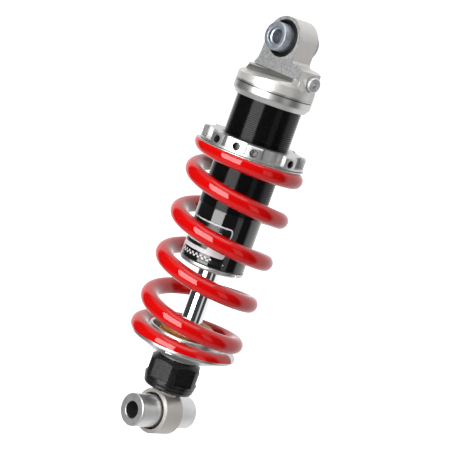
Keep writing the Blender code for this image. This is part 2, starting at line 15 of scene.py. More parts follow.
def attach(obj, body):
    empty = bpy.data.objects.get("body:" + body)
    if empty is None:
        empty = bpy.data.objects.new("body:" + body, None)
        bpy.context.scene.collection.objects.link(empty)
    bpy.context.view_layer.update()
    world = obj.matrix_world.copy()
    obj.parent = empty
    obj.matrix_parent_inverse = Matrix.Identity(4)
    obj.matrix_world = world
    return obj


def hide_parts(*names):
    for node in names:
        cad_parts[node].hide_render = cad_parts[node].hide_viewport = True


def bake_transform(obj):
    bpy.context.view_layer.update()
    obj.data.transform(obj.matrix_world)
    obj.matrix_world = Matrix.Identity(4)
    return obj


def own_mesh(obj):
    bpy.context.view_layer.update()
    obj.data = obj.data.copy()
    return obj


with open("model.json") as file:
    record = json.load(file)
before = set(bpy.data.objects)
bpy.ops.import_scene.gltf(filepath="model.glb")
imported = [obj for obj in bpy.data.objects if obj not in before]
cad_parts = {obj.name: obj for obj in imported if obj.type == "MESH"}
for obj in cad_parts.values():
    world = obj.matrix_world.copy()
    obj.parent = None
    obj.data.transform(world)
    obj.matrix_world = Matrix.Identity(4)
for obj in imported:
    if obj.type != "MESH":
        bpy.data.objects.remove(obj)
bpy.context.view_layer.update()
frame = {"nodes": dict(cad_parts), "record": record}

MM = 0.001
RECORD = frame["record"]
BODY_OF = {node: body for body, nodes in RECORD["behaviour"]["bodies"].items() for node in nodes}

THREAD_PITCH = 1.5
THREAD_DEPTH = 0.75
THREAD_RADIUS = 25.0
SMOOTH_RADIUS = 24.5
THREAD_END = -132.7
HEAD_BOTTOM = -47.7
HEAD_ROOF = -34.0
GROOVE_Z = -38.6
HEAD_RADIUS = 29.5
PLATE_FOOT = -24.2
PLATE_HALF = 10.0
UNDERCUT = 7.4
LEDGE_TILT = -4.0
EYE_RADIUS = 16.4
LUG_END = -28.0
LUG_SIDE = 11.6
VALVE_AT = (4.9, -26.9, -24.1)
VALVE_TURN = -8.0
COLLAR_TOP = -77.8
COLLAR_BOTTOM = -87.3
COLLAR_RADIUS = 39.7
COLLAR_HOLE_Z = -82.6
COLLAR_SLOTS = 8
LOCK_SCREW_ANGLE = 225.0
SPRING_TOP = -88.4
SPRING_BOTTOM = -237.2
SPRING_SPLIT_TURN = 3.8
SPRING_TURNS = 5.73
SPRING_START_ANGLE = -74.0
END_GRIND = 1.4
WIRE_RADIUS = 6.4
COIL_RADIUS = 36.5
CLOSED_PITCH = 10.0
CLOSED_TURNS = 0.66
RAMP_TURNS = 0.4
EYE_TO_EYE = 295.0
UPPER_BORE = 13.9
LOWER_BORE = 14.1
LABEL_TURN = (-217.0, -120.0)
LABEL_Z = (-165.5, -142.0)
LABEL_RADIUS = 24.53
LABEL_LAYER = 0.03

# The first lays local Z along X, the second lays local X and Y along Y and Z.
ALONG_X = Matrix.Rotation(math.radians(90.0), 4, "Y")
AXES_YZ = Matrix(((0, 0, 1, 0), (1, 0, 0, 0), (0, 1, 0, 0), (0, 0, 0, 1)))


def about_z(degrees):
    return Matrix.Rotation(math.radians(degrees), 4, "Z")


def move(x, y, z):
    return Matrix.Translation((x, y, z))


# ------------------------------------------------------------------ mesh tools
def new_piece(name, verts, faces, turn=None, sharp=38.0):
    """An object at the origin whose mesh holds these points, given in millimetres."""
    turn = turn or Matrix.Identity(4)
    mesh = bpy.data.meshes.new(name)
    mesh.from_pydata([(turn @ Vector(v)) * MM for v in verts], [], faces)
    work = bmesh.new()
    work.from_mesh(mesh)
    bmesh.ops.recalc_face_normals(work, faces=work.faces)
    work.to_mesh(mesh)
    work.free()
    mesh.validate()
    obj = bpy.data.objects.new(name, mesh)
    bpy.context.scene.collection.objects.link(obj)
    shade(obj, sharp)
    return obj


def shade(obj, sharp=38.0):
    obj.data.shade_smooth()
    obj.data.set_sharp_from_angle(angle=math.radians(sharp))


def softened(profile):
    """Round each (radius, height, fillet) corner of a closed profile."""
    steps = 5
    points = []
    count = len(profile)
    for i, corner in enumerate(profile):
        here = Vector(corner[:2])
        fillet = corner[2] if len(corner) > 2 else 0.0
        if fillet <= 0.0:
            points.append(tuple(here))
            continue
        before = Vector(profile[i - 1][:2]) - here
        after = Vector(profile[(i + 1) % count][:2]) - here
        reach = min(fillet, 0.48 * before.length, 0.48 * after.length)
        start = here + before.normalized() * reach
        end = here + after.normalized() * reach
        for k in range(steps + 1):
            t = k / steps
            points.append(tuple(start * (1 - t) ** 2 + here * 2 * t * (1 - t) + end * t * t))
    return points


def add_face(faces, corners):
    """Add a face without its repeated corners, unless fewer than three are left."""
    face = [v for j, v in enumerate(corners) if v not in corners[:j]]
    if len(face) > 2:
        faces.append(face)


def lathe(name, profile, turn=None, sides=144):
    """Revolve a closed profile about local Z. A radius of zero lies on the axis."""
    verts, rings = [], []
    for radius, height in softened(profile):
        if radius < 1e-6:
            rings.append([len(verts)] * sides)
            verts.append((0.0, 0.0, height))
            continue
        rings.append(list(range(len(verts), len(verts) + sides)))
        for k in range(sides):
            angle = 2.0 * math.pi * k / sides
            verts.append((radius * math.cos(angle), radius * math.sin(angle), height))
    faces = []
    for i, ring in enumerate(rings):
        after = rings[(i + 1) % len(rings)]
        for k in range(sides):
            n = (k + 1) % sides
            corners = [ring[k], ring[n], after[n], after[k]]
            add_face(faces, corners)
    return new_piece(name, verts, faces, turn)


def prism(name, outline, low, high, turn=None):
    """A straight extrusion of an (x, y) outline along local Z."""
    count = len(outline)
    verts = [(x, y, low) for x, y in outline] + [(x, y, high) for x, y in outline]
    faces = [list(range(count)), list(range(count, 2 * count))]
    for k in range(count):
        n = (k + 1) % count
        faces.append([k, n, count + n, count + k])
    return new_piece(name, verts, faces, turn)


def box(name, x, y, z, turn=None):
    outline = [(x[0], y[0]), (x[1], y[0]), (x[1], y[1]), (x[0], y[1])]
    return prism(name, outline, z[0], z[1], turn)


def rod(name, radius, low, high, turn=None, sides=48):
    return lathe(name, [(radius, low), (radius, high), (0.0, high), (0.0, low)], turn, sides)


def polygon(sides, radius):
    angles = [2.0 * math.pi * k / sides for k in range(sides)]
    return [(radius * math.cos(angle), radius * math.sin(angle)) for angle in angles]


def bake(obj):
    """Replace the mesh by what its modifiers make of it."""
    bpy.context.view_layer.update()
    graph = bpy.context.evaluated_depsgraph_get()
    mesh = bpy.data.meshes.new_from_object(obj.evaluated_get(graph))
    obj.modifiers.clear()
    obj.data = mesh
    return obj


def combine(target, operation, tools):
    """Cut or join solids one after another; the tools are used up."""
    for tool in tools:
        modifier = target.modifiers.new("csg", "BOOLEAN")
        modifier.operation = operation
        modifier.solver = "EXACT"
        modifier.object = tool
        bake(target)
        bpy.data.objects.remove(tool, do_unlink=True)
    return target


def cut(target, *tools):
    return combine(target, "DIFFERENCE", tools)


def join(target, *tools):
    return combine(target, "UNION", tools)


def bevel(obj, width, segments=3, angle=30.0, sharp=38.0):
    """Break the edges of a solid made by cutting and joining."""
    work = bmesh.new()
    work.from_mesh(obj.data)
    bmesh.ops.remove_doubles(work, verts=work.verts, dist=0.01 * MM)
    bmesh.ops.dissolve_limit(work, angle_limit=math.radians(0.5), verts=work.verts,
                             edges=work.edges)
    work.to_mesh(obj.data)
    work.free()
    modifier = obj.modifiers.new("edges", "BEVEL")
    modifier.width = width * MM
    modifier.segments = segments
    modifier.limit_method = "ANGLE"
    modifier.angle_limit = math.radians(angle)
    modifier.use_clamp_overlap = True
    bake(obj)
    shade(obj, sharp)
    weighted = obj.modifiers.new("flat_faces", "WEIGHTED_NORMAL")
    weighted.weight = 80
    weighted.keep_sharp = True
    return bake(obj)


# ------------------------------------------------------------------ material tools
def rgba(colour):
    """A colour constant with full alpha, or a node's output as it is."""
    return colour if isinstance(colour, bpy.types.NodeSocket) else (*colour, 1.0)


class Look:
    """A Principled material with helpers for the procedural detail in front of it."""

    def __init__(self, name, colour, metallic=0.0, roughness=0.4, coat=0.0, coat_roughness=0.03,
                 specular=0.5):
        self.material = bpy.data.materials.new(name)
        self.material.use_nodes = True
        self.tree = self.material.node_tree
        self.shader = self.tree.nodes["Principled BSDF"]
        self.colour = colour
        self.set("Base Color", rgba(colour))
        self.set("Metallic", metallic)
        self.set("Roughness", roughness)
        self.set("Coat Weight", coat)
        self.set("Coat Roughness", coat_roughness)
        self.set("Specular IOR Level", specular)
        self.place = self.node("ShaderNodeTexCoord").outputs["Object"]
        self.normal = None

    def feed(self, socket, value):
        """Link the value if it comes out of a node, or else set it as a constant."""
        if isinstance(value, bpy.types.NodeSocket):
            self.tree.links.new(value, socket)
        else:
            socket.default_value = value

    def node(self, kind, **inputs):
        made = self.tree.nodes.new(kind)
        for key, value in inputs.items():
            self.feed(made.inputs[key.replace("_", " ")], value)
        return made

    def set(self, name, value):
        self.shader.inputs[name].default_value = value

    def link(self, socket, name):
        self.tree.links.new(socket, self.shader.inputs[name])

    def noise(self, scale, detail=3.0, rough=0.55):
        made = self.node("ShaderNodeTexNoise", Vector=self.place, Scale=scale, Detail=detail,
                         Roughness=rough)
        return made.outputs["Fac"]

    def turning(self, scale, centre=(0, 0, 0), axis="Z", distortion=0.6):
        """Fine concentric lathe marks about an axis, as bands along it and rings across it."""
        at = self.node("ShaderNodeMapping", Vector=self.place,
                       Location=tuple(-c * MM for c in centre)).outputs["Vector"]
        marks = []
        for kind in ("BANDS", "RINGS"):
            wave = self.node("ShaderNodeTexWave", Vector=at, Scale=scale, Distortion=distortion,
                             Detail=3.0, Detail_Scale=2.0)
            wave.wave_type = kind
            wave.bands_direction = axis
            wave.rings_direction = axis
            marks.append(wave.outputs["Fac"])
        return self.mix(0.5, marks[0], marks[1])

    def mix(self, share, a, b):
        made = self.node("ShaderNodeMix")
        for socket, value in zip((made.inputs[0], made.inputs[2], made.inputs[3]), (share, a, b)):
            self.feed(socket, value)
        return made.outputs[0]

    def span(self, value, low, high, start=0.0, end=1.0):
        """Go from low to high, clamped, while the value goes from start to end."""
        made = self.node("ShaderNodeMapRange", Value=value, From_Min=start, From_Max=end,
                         To_Min=low, To_Max=high)
        return made.outputs["Result"]

    def ramp(self, value, stops):
        """Colours blended between (value, colour) stops."""
        made = self.node("ShaderNodeValToRGB", Fac=value)
        points = made.color_ramp.elements
        while len(points) < len(stops):
            points.new(0.5)
        for point, (at, colour) in zip(points, stops):
            point.position = at
            point.color = rgba(colour)
        return made.outputs["Color"]

    def vary_colour(self, value, share):
        """Darken and lighten the base colour by this share, following a value."""
        dark = tuple(c * (1.0 - share) for c in self.colour)
        light = tuple(min(1.0, c * (1.0 + share)) for c in self.colour)
        self.link(self.ramp(value, [(0.3, dark), (0.7, light)]), "Base Color")

    def vary_roughness(self, value, low, high):
        self.link(self.span(value, low, high, 0.3, 0.7), "Roughness")

    def bump(self, height, depth, strength=1.0):
        """Raise the surface by depth millimetres where the height is one."""
        more = {"Normal": self.normal} if self.normal else {}
        made = self.node("ShaderNodeBump", Strength=strength, Distance=depth * MM,
                         Height=height, **more)
        self.normal = made.outputs["Normal"]
        self.link(self.normal, "Normal")

    def calculate(self, operation, *values):
        made = self.node("ShaderNodeMath")
        made.operation = operation
        for socket, value in zip(made.inputs, values):
            self.feed(socket, value)
        return made.outputs[0]

    def away(self, centre=(0, 0, 0), axis=(0, 0, 1)):
        """Distance from a line that runs along one of the axes."""
        keep = tuple(0.0 if part else 1.0 for part in axis)
        level = self.node("ShaderNodeVectorMath", Vector=self.place)
        level.operation = "SUBTRACT"
        level.inputs[1].default_value = tuple(c * MM for c in centre)
        flat = self.node("ShaderNodeVectorMath", Vector=level.outputs["Vector"])
        flat.operation = "MULTIPLY"
        flat.inputs[1].default_value = keep
        length = self.node("ShaderNodeVectorMath", Vector=flat.outputs["Vector"])
        length.operation = "LENGTH"
        return length.outputs["Value"]

    def parts(self):
        made = self.node("ShaderNodeSeparateXYZ", Vector=self.place)
        return made.outputs["X"], made.outputs["Y"], made.outputs["Z"]

    def paint(self, mask, colour):
        """Put another base colour where the mask is one."""
        base = self.shader.inputs["Base Color"]
        under = base.links[0].from_socket if base.is_linked else rgba(self.colour)
        made = self.node("ShaderNodeMix")
        made.data_type = "RGBA"
        for socket, value in zip((made.inputs[0], made.inputs[6], made.inputs[7]),
                                 (mask, under, rgba(colour))):
            self.feed(socket, value)
        self.tree.links.new(made.outputs[2], base)

    def worn_edges(self, colour, share=0.6):
        """Lighten the rims, where handling rubs the finish."""
        point = self.node("ShaderNodeNewGeometry").outputs["Pointiness"]
        mask = self.span(point, 0.0, share, 0.52, 0.60)
        spots = self.span(self.noise(700.0), 0.2, 1.0, 0.35, 0.65)
        self.paint(self.calculate("MULTIPLY", mask, spots), colour)


def cast_alloy():
    """Blasted casting, coarser on the flat sides of the eye plate, with painted shade on the wall
    under the plate's foot.
    """
    look = Look("blasted_alloy", (0.68, 0.665, 0.645), 0.62, 0.42)
    x, y, height = look.parts()
    across = look.calculate("ABSOLUTE", x)
    plate = look.calculate("MULTIPLY", look.span(across, 0.0, 1.0, 9.6 * MM, 9.8 * MM),
                           look.span(across, 1.0, 0.0, 10.1 * MM, 10.3 * MM))
    sides = look.calculate("MULTIPLY", plate, look.span(height, 0.0, 1.0, -24.9 * MM, -24.3 * MM))
    low = look.calculate("MULTIPLY", look.span(height, 1.0, 0.0, -24.4 * MM, -24.1 * MM),
                         look.span(height, 0.0, 1.0, -32.0 * MM, -28.0 * MM))
    undercut_shade = look.calculate("MULTIPLY", low, look.span(across, 1.0, 0.0, 7.5 * MM, 10.5 * MM))
    behind_lug = look.span(y, 0.0, 1.0, -25.0 * MM, -22.0 * MM)
    grain = look.noise(620.0, 4.0, 0.75)
    look.vary_colour(look.noise(500.0, 4.0, 0.7), 0.05)
    shades = look.ramp(grain, [(0.36, (0.27, 0.275, 0.28)), (0.64, (0.50, 0.50, 0.50))])
    look.paint(sides, shades)
    # Painted shade on the recessed wall under the plate's overhanging foot, away from the lug.
    look.paint(look.calculate("MULTIPLY", undercut_shade, behind_lug), (0.20, 0.20, 0.19))
    look.vary_roughness(look.noise(220.0), 0.36, 0.46)
    look.bump(look.mix(sides, look.span(grain, 0.0, 0.10), grain), 0.45, 0.9)
    look.bump(look.noise(260.0, 3.0), 0.05, 0.4)
    return look.material


def satin_casting():
    """Finer, warmer casting of the lower eye."""
    look = Look("satin_casting", (0.60, 0.57, 0.54), 0.55, 0.46)
    look.vary_colour(look.noise(700.0, 4.0, 0.7), 0.05)
    look.vary_roughness(look.noise(220.0), 0.36, 0.46)
    look.bump(look.noise(900.0, 3.0), 0.04, 0.5)
    return look.material


def machined_band():
    """Turned lower half of the head, with painted shade in the groove."""
    look = Look("machined_band", (0.60, 0.60, 0.59), 0.90, 0.34)
    look.vary_colour(look.noise(40.0, 3.0), 0.03)
    height = look.calculate("ABSOLUTE", look.calculate("SUBTRACT", look.parts()[2], GROOVE_Z * MM))
    # Painted shade in a thin band along the groove.
    look.paint(look.span(height, 1.0, 0.0, 0.30 * MM, 0.45 * MM), (0.10, 0.10, 0.10))
    look.vary_roughness(look.noise(160.0), 0.29, 0.37)
    look.bump(look.turning(900.0), 0.005, 0.4)
    return look.material


def drilled_collar():
    """Satin alloy, with painted shade inside the spanner holes round the rim."""
    look = Look("satin_collar", (0.60, 0.60, 0.595), 0.90, 0.36)
    look.vary_colour(look.noise(40.0, 3.0), 0.03)
    x, y, z = look.parts()
    radius = look.away()
    slot = 2.0 * math.pi / COLLAR_SLOTS
    turn = look.calculate("MULTIPLY", look.calculate("ARCTAN2", y, x), 1.0 / slot)
    past = look.calculate("SUBTRACT", turn, look.calculate("ROUND", turn))
    side = look.calculate("MULTIPLY", look.calculate("MULTIPLY", past, slot), radius)
    rise = look.calculate("SUBTRACT", z, COLLAR_HOLE_Z * MM)
    reach = look.calculate("SQRT", look.calculate(
        "ADD", look.calculate("POWER", side, 2.0), look.calculate("POWER", rise, 2.0)))
    hole = look.span(reach, 1.0, 0.0, 2.85 * MM, 2.98 * MM)
    inside = look.span(radius, 1.0, 0.0, 37.5 * MM, 39.4 * MM)
    middle = look.span(look.calculate("ABSOLUTE", rise), 1.0, 0.0, 2.9 * MM, 3.0 * MM)
    deep = look.calculate("MULTIPLY", middle, look.span(radius, 1.0, 0.0, 33.2 * MM, 34.4 * MM))
    dark = look.calculate("MAXIMUM", look.calculate("MULTIPLY", hole, inside), deep)
    # Painted shade inside the spanner holes and deep in behind the slot floors.
    look.paint(dark, (0.05, 0.05, 0.05))
    look.vary_roughness(look.noise(160.0), 0.31, 0.39)
    look.bump(look.turning(900.0), 0.005, 0.4)
    return look.material


def satin_alloy():
    """Turned aluminium of the cap, washer, seat and hidden parts."""
    look = Look("satin_alloy", (0.66, 0.66, 0.65), 0.90, 0.34)
    look.vary_colour(look.noise(40.0, 3.0), 0.03)
    look.vary_roughness(look.noise(160.0), 0.31, 0.39)
    look.bump(look.turning(900.0), 0.005, 0.4)
    return look.material


def turned_steel(name, colour, centre=(0, 0, 0), axis="X", roughness=0.3, blotch=0.10, hole=0.0):
    """Machined steel; an axis along X may have painted shade inside its hole, out to this radius.
    """
    look = Look(name, colour, 0.85, roughness)
    marks = look.turning(700.0, centre, axis)
    look.vary_colour(look.noise(420.0, 5.0, 0.65), blotch)
    look.vary_roughness(look.noise(260.0, 4.0), roughness - 0.04, roughness + 0.08)
    look.bump(marks, 0.006, 0.5)
    look.worn_edges((0.85, 0.86, 0.88), 0.4)
    if hole:
        away = look.away(centre, (1, 0, 0))
        # Painted shade inside the bolt hole.
        look.paint(look.span(away, 1.0, 0.0, hole * MM, (hole + 0.15) * MM), (0.16, 0.16, 0.16))
    return look.material


def black_thread():
    """Black anodising over the thread; the ribs themselves are in the mesh."""
    look = Look("black_anodised_thread", (0.002, 0.002, 0.002), 0.0, 0.12, specular=0.4)
    look.vary_roughness(look.noise(300.0), 0.10, 0.17)
    look.bump(look.noise(1800.0), 0.004, 0.4)
    return look.material


def gloss_black():
    look = Look("gloss_black_tube", (0.004, 0.004, 0.005), 0.0, 0.06, coat=0.7,
                coat_roughness=0.02)
    look.vary_roughness(look.noise(90.0, 5.0), 0.05, 0.09)
    look.bump(look.turning(1400.0), 0.0006, 0.3)
    return look.material


def red_coat():
    """Glossy clear layer over a soft red, so that only the coat mirrors the soft boxes."""
    look = Look("red_powder_coat", (0.54, 0.001, 0.001), 0.0, 0.50, coat=1.0, coat_roughness=0.02,
                specular=0.0)
    look.set("Coat IOR", 1.56)
    look.vary_colour(look.noise(70.0, 3.0), 0.03)
    look.vary_roughness(look.noise(400.0), 0.36, 0.48)
    look.bump(look.noise(600.0, 2.0, 0.4), 0.004, 0.3)
    return look.material


def chrome():
    look = Look("hard_chrome", (0.88, 0.89, 0.91), 1.0, 0.04)
    look.vary_roughness(look.noise(240.0, 4.0), 0.03, 0.06)
    look.bump(look.turning(1600.0, distortion=0.2), 0.0004, 0.3)
    return look.material


def rubber():
    look = Look("black_rubber", (0.004, 0.004, 0.004), 0.0, 0.42, specular=0.25)
    look.vary_colour(look.noise(350.0, 4.0), 0.35)
    look.vary_roughness(look.noise(300.0, 4.0), 0.34, 0.56)
    look.bump(look.noise(1500.0, 3.0), 0.02, 0.4)
    return look.material


def amber_foam():
    """Cellular polyurethane with fine pores."""
    look = Look("amber_polyurethane", (0.52, 0.23, 0.045), 0.0, 0.45)
    look.vary_colour(look.noise(260.0, 4.0), 0.22)
    look.vary_roughness(look.noise(500.0), 0.36, 0.58)
    cells = look.node("ShaderNodeTexVoronoi", Vector=look.place, Scale=1300.0).outputs["Distance"]
    look.bump(cells, 0.04, 0.5)
    return look.material


def knob_black():
    """Gloss black body with dark grey, coarse grained flats set below it."""
    look = Look("black_knob", (0.004, 0.004, 0.005), 0.0, 0.20, specular=0.6)
    flats = look.span(look.away(), 1.0, 0.0, 19.95 * MM, 20.05 * MM)
    grain = look.noise(900.0, 5.0, 0.75)
    grey = look.ramp(grain, [(0.42, (0.002, 0.002, 0.002)), (0.72, (0.010, 0.010, 0.011))])
    look.paint(flats, grey)
    look.link(look.mix(flats, look.span(grain, 0.12, 0.22), look.span(grain, 0.20, 0.34)),
              "Roughness")
    look.bump(look.mix(flats, look.span(grain, 0.0, 0.1), grain), 0.07, 0.8)
    look.worn_edges((0.16, 0.16, 0.17), 0.6)
    return look.material


def bronze():
    look = Look("sintered_bronze", (0.60, 0.42, 0.20), 1.0, 0.4)
    look.vary_colour(look.noise(600.0, 4.0), 0.2)
    look.bump(look.noise(2500.0, 2.0), 0.02, 0.5)
    return look.material


def label_white():
    look = Look("label_white", (0.60, 0.60, 0.61), 0.0, 0.30)
    look.vary_colour(look.noise(300.0, 3.0), 0.05)
    look.bump(look.noise(900.0, 2.0), 0.002, 0.4)
    return look.material


def label_ink():
    look = Look("label_ink", (0.010, 0.010, 0.010), 0.0, 0.22)
    look.vary_colour(look.noise(300.0, 3.0), 0.3)
    look.bump(look.noise(900.0, 2.0), 0.002, 0.4)
    return look.material


def ptfe():
    look = Look("ptfe_composite", (0.70, 0.66, 0.54), 0.0, 0.5)
    look.vary_colour(look.noise(900.0, 5.0, 0.7), 0.15)
    look.bump(look.noise(1800.0, 2.0), 0.01, 0.4)
    return look.material


def add(piece, node, material, name=None):
    """Let a piece stand for a CAD node, on that node's body and with its finish."""
    piece.name = name or node + "_look"
    piece.data.materials.clear()
    piece.data.materials.append(material)
    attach(piece, BODY_OF[node])
    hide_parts(node)
    return piece


CAST = cast_alloy()
CAST_LOW = satin_casting()
BAND = machined_band()
COLLAR = drilled_collar()
SATIN = satin_alloy()
ZINC = turned_steel("zinc_plate", (0.46, 0.50, 0.56), axis="X", roughness=0.36, blotch=0.28)
# The lower sleeve's bolt hole gets painted shade.
STEEL_LOW = turned_steel("turned_steel_low", (0.76, 0.76, 0.76), centre=(0, 0, -EYE_TO_EYE),
                         axis="X", roughness=0.32, blotch=0.04, hole=6.5)
STEEL = turned_steel("turned_steel", (0.50, 0.50, 0.51), axis="Z", roughness=0.3)
THREAD = black_thread()
GLOSS = gloss_black()
RED = red_coat()
CHROME = chrome()
RUBBER = rubber()
AMBER = amber_foam()
KNOB = knob_black()
BRONZE = bronze()
PTFE = ptfe()


# ------------------------------------------------------------------ upper head
def eye_plate_outline():
    """Eye plate seen along X, as (-z, y): round eye, flared foot and the lug's front wall."""
    arc = []
    for k in range(49):
        angle = math.radians(82.0) * (k / 24.0 - 1.0)
        arc.append((-EYE_RADIUS * math.cos(angle), EYE_RADIUS * math.sin(angle)))
    far = [(8.0, 16.2), (14.0, 16.4), (20.0, 17.4), (23.2, 19.4), (28.0, 19.4)]
    near = [(28.0, LUG_END), (16.6, LUG_END), (15.2, -23.7), (14.2, -17.2), (12.5, -15.6),
            (8.0, -15.6)]
    return arc + far + near


def ledge_frame():
    """Local Y points up and local Z runs towards the lug, rising a little on the way."""
    pivot = move(0, -8.0, -27.3)
    tilt = Matrix.Rotation(math.radians(LEDGE_TILT), 4, "X")
    return pivot @ tilt @ pivot.inverted() @ Matrix.Rotation(math.radians(90.0), 4, "X")


def valve_frame():
    into = Matrix.Rotation(math.radians(-90.0), 4, "X")
    return move(*VALVE_AT) @ about_z(VALVE_TURN) @ into


def build_head():
    band = lathe("band", [
        (25.3, HEAD_BOTTOM, 0.2), (26.6, HEAD_BOTTOM, 0.4), (29.1, HEAD_BOTTOM + 3.4, 1.2),
        (HEAD_RADIUS, HEAD_BOTTOM + 4.4, 0.5), (HEAD_RADIUS, GROOVE_Z - 0.4, 0.1),
        (HEAD_RADIUS - 0.7, GROOVE_Z - 0.35), (HEAD_RADIUS - 0.7, GROOVE_Z + 0.35),
        (HEAD_RADIUS, GROOVE_Z + 0.4, 0.1), (HEAD_RADIUS, -37.2, 0.1), (28.0, -36.9, 0.1),
        (25.3, -36.9),
    ], sides=192)
    add(band, "upper_mount_head", BAND, "upper_head_band")
    head = lathe("head", [
        (25.6, -37.0), (HEAD_RADIUS - 0.02, -37.0), (HEAD_RADIUS - 0.02, -32.0), (29.1, -30.2),
        (27.6, -27.6), (25.6, -25.0), (0.0, -25.0), (0.0, HEAD_ROOF), (25.6, HEAD_ROOF),
    ], sides=96)
    for side in (-1, 1):
        ledge = [(side * x, z) for x, z in
                 ((UNDERCUT, PLATE_FOOT), (UNDERCUT, -27.3), (UNDERCUT + 1.0, -27.7),
                  (40.0, -33.0), (40.0, -10.0), (PLATE_HALF, -10.0), (PLATE_HALF, PLATE_FOOT))]
        cut(head, prism("ledge", ledge, -40, 40, turn=ledge_frame()))
    plate = prism("plate", eye_plate_outline(), -PLATE_HALF, PLATE_HALF, turn=ALONG_X)
    for side in (-1, 1):
        cut(plate, box("under", sorted((side * UNDERCUT, side * 14.0)), (-40, 40),
                       (-31.0, PLATE_FOOT)))
    shoulder = prism("shoulder", [(-14.0, -34.0), (LUG_END, -34.0), (LUG_END, -16.6),
                                  (-23.7, -15.2), (-14.0, -14.6)], 2.0, LUG_SIDE, turn=AXES_YZ)
    lug = prism("lug", [(-7.0, -8.0), (-7.0, -19.0), (-11.4, -25.0), (-4.4, -29.0),
                        (LUG_SIDE, LUG_END), (LUG_SIDE, -8.0)], -36.9, PLATE_FOOT + 0.2)
    join(head, plate, shoulder, lug)
    cut(head, rod("socket", 25.3, -52.0, HEAD_ROOF, sides=96),
        rod("bore", UPPER_BORE, -30, 30, turn=ALONG_X, sides=96),
        rod("hole", 3.3, -2.0, 14.0, turn=valve_frame()),
        rod("spot", 6.0, -14.0, 0.0, turn=valve_frame()))
    bevel(head, 0.4, 2, angle=18.0, sharp=50.0)
    add(head, "upper_mount_head", CAST, "upper_head_casting")


def build_valve():
    valve = valve_frame()
    screw = lathe("screw", [
        (3.0, 11.0), (3.0, -1.4), (5.2, -1.4, 0.2), (5.5, -1.8, 0.3), (5.5, -4.7, 0.3),
        (4.9, -5.3, 0.3), (4.5, -5.3, 0.1), (4.4, -4.6), (4.0, -4.6), (3.9, -5.2, 0.1),
        (0.0, -5.2), (0.0, 11.0),
    ], turn=valve, sides=96)
    cut(screw, prism("hex", polygon(6, 2.6), -7.0, -2.4, turn=valve))
    shade(screw)
    look = turned_steel("valve_screw_zinc", (0.80, 0.80, 0.82), axis="Y", roughness=0.36)
    add(screw, "valve_screw", look)
    washer = lathe("washer", [(3.3, -1.1, 0.1), (5.2, -1.1, 0.2), (5.2, -0.3, 0.2),
                              (3.3, -0.3, 0.1)], turn=valve, sides=64)
    add(washer, "valve_washer", look)


def build_eye(prefix, height, steel, bore, sleeve, half, bolt, step, seal_in, seal_out):
    """Sleeve and its two dust seals, in an eye of this bore at this height.

    The sleeve's radius is sleeve and half its length is half. Its bolt hole has the radius
    bolt, wider by step at both mouths. The seals lie from seal_in to seal_out off the middle.
    """
    place = move(0, 0, height) @ ALONG_X
    tube = lathe("sleeve", [
        (sleeve - 0.7, -half, 0.25), (sleeve, -half + 0.7, 0.4), (sleeve, half - 0.7, 0.4),
        (sleeve - 0.7, half, 0.25), (bolt + step + 0.5, half, 0.3),
        (bolt + step, half - 0.7, 0.3), (bolt + step, half - 2.5, 0.2), (bolt, half - 3.2, 0.2),
        (bolt, 3.2 - half, 0.2), (bolt + step, 2.5 - half, 0.2), (bolt + step, 0.7 - half, 0.3),
        (bolt + step + 0.5, -half, 0.3),
    ], turn=place, sides=160)
    add(tube, prefix + "_sleeve", steel)
    for side, word in ((-1, "left"), (1, "right")):
        outer, inner = bore - 0.3, sleeve + 0.3
        lip = [(outer, seal_in), (outer, seal_out - 0.1, 0.6), (outer - 1.0, seal_out, 0.4),
               ((outer + inner) / 2 + 0.1, seal_out - 0.15, 0.3),
               ((outer + inner) / 2 - 0.3, seal_out - 0.9, 0.4),
               (inner + 0.5, seal_out - 0.1, 0.5), (inner, seal_out - 0.9, 0.4), (inner, seal_in)]
        ring = lathe("seal", [(r, side * x, *f) for r, x, *f in lip], turn=place)
        add(ring, f"{prefix}_seal_{word}", RUBBER)


